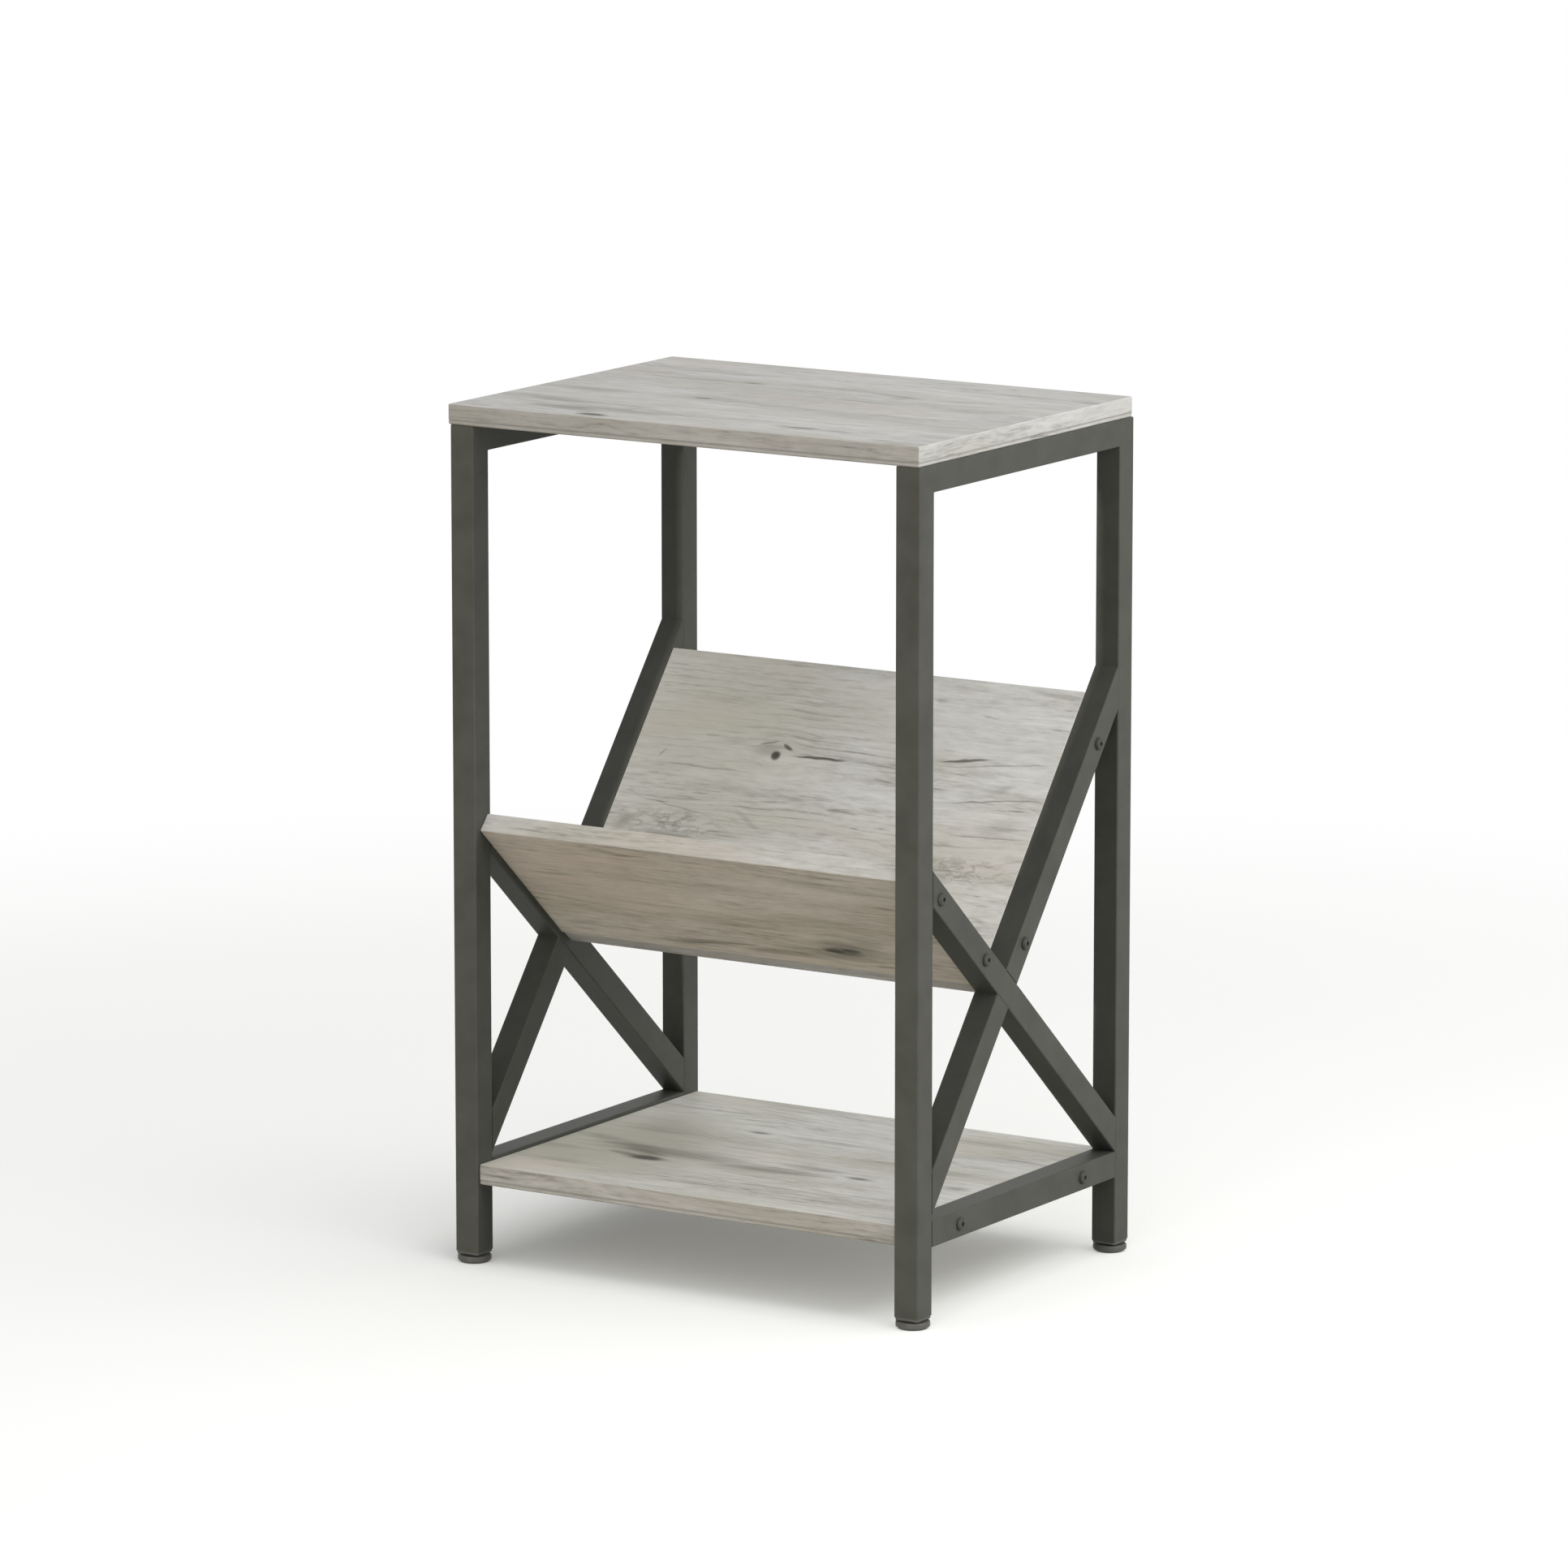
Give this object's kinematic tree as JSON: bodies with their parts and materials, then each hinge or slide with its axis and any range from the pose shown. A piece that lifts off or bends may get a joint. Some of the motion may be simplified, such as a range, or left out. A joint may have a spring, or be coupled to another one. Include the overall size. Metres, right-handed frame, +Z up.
{
  "type": "magazine table with rack",
  "caption": "Small side table: square-tube side frames with crossed braces carry a wood-grain top, a V-shaped magazine rack of two panels and a bottom shelf, on levelling feet.",
  "frame": {"origin": "on the floor under the middle of the table", "axes": "+X to the right along the front, +Y to the back, +Z up"},
  "size_m": [0.4054, 0.305, 0.64],
  "materials": {
    "powder_coat": "matte dark grey powder coat",
    "board": "matte weathered grey oak laminate",
    "bolt": "dark grey coated button head",
    "insert": "plain turned brass",
    "foot_plastic": "matte dark grey moulded plastic",
    "stud": "dark oxide steel"
  },
  "bodies": {
    "frame": {"left_front_leg": "powder_coat", "left_rear_leg": "powder_coat", "left_top_rail": "powder_coat", "left_bottom_rail": "powder_coat", "left_short_brace": "powder_coat", "left_tall_brace_upper": "powder_coat", "left_tall_brace_lower": "powder_coat", "right_front_leg": "powder_coat", "right_rear_leg": "powder_coat", "right_top_rail": "powder_coat", "right_bottom_rail": "powder_coat", "right_short_brace": "powder_coat", "right_tall_brace_upper": "powder_coat", "right_tall_brace_lower": "powder_coat", "table_top": "board", "bottom_shelf": "board", "rack_front_panel": "board", "rack_back_panel": "board", "rack_front_bolts": "bolt", "rack_back_bolts": "bolt", "shelf_bolts": "bolt", "top_bolts": "bolt", "rack_front_inserts": "insert", "rack_back_inserts": "insert", "shelf_inserts": "insert", "top_inserts": "insert", "left_front_leg_plug": "foot_plastic", "left_rear_leg_plug": "foot_plastic", "right_front_leg_plug": "foot_plastic", "right_rear_leg_plug": "foot_plastic"},
    "left_front_pad": {"left_front_foot_pad": "foot_plastic"},
    "left_front_stud": {"left_front_foot_stud": "stud"},
    "left_rear_pad": {"left_rear_foot_pad": "foot_plastic"},
    "left_rear_stud": {"left_rear_foot_stud": "stud"},
    "right_front_pad": {"right_front_foot_pad": "foot_plastic"},
    "right_front_stud": {"right_front_foot_stud": "stud"},
    "right_rear_pad": {"right_rear_foot_pad": "foot_plastic"},
    "right_rear_stud": {"right_rear_foot_stud": "stud"}
  },
  "joints": [
    {"name": "left_front_foot_slide", "type": "slide", "parent": "frame", "child": "left_front_pad", "axis": [0, 0, -1], "range_m": [0, 0.0101]},
    {"name": "left_front_stud_turn", "type": "hinge", "parent": "left_front_pad", "child": "left_front_stud", "pos_m": [-0.19, -0.14, 0.0055], "axis": [0, 0, -1], "range_deg": [0, 2880]},
    {"name": "left_rear_foot_slide", "type": "slide", "parent": "frame", "child": "left_rear_pad", "axis": [0, 0, -1], "range_m": [0, 0.0101]},
    {"name": "left_rear_stud_turn", "type": "hinge", "parent": "left_rear_pad", "child": "left_rear_stud", "pos_m": [-0.19, 0.14, 0.0055], "axis": [0, 0, -1], "range_deg": [0, 2880]},
    {"name": "right_front_foot_slide", "type": "slide", "parent": "frame", "child": "right_front_pad", "axis": [0, 0, -1], "range_m": [0, 0.0101]},
    {"name": "right_front_stud_turn", "type": "hinge", "parent": "right_front_pad", "child": "right_front_stud", "pos_m": [0.19, -0.14, 0.0055], "axis": [0, 0, -1], "range_deg": [0, 2880]},
    {"name": "right_rear_foot_slide", "type": "slide", "parent": "frame", "child": "right_rear_pad", "axis": [0, 0, -1], "range_m": [0, 0.0101]},
    {"name": "right_rear_stud_turn", "type": "hinge", "parent": "right_rear_pad", "child": "right_rear_stud", "pos_m": [0.19, 0.14, 0.0055], "axis": [0, 0, -1], "range_deg": [0, 2880]}
  ],
  "couplings": [
    {"joint": "left_front_foot_slide", "follows": "left_front_stud_turn", "m_per_rad": 0.00019894},
    {"joint": "left_rear_foot_slide", "follows": "left_rear_stud_turn", "m_per_rad": 0.00019894},
    {"joint": "right_front_foot_slide", "follows": "right_front_stud_turn", "m_per_rad": 0.00019894},
    {"joint": "right_rear_foot_slide", "follows": "right_rear_stud_turn", "m_per_rad": 0.00019894}
  ]
}
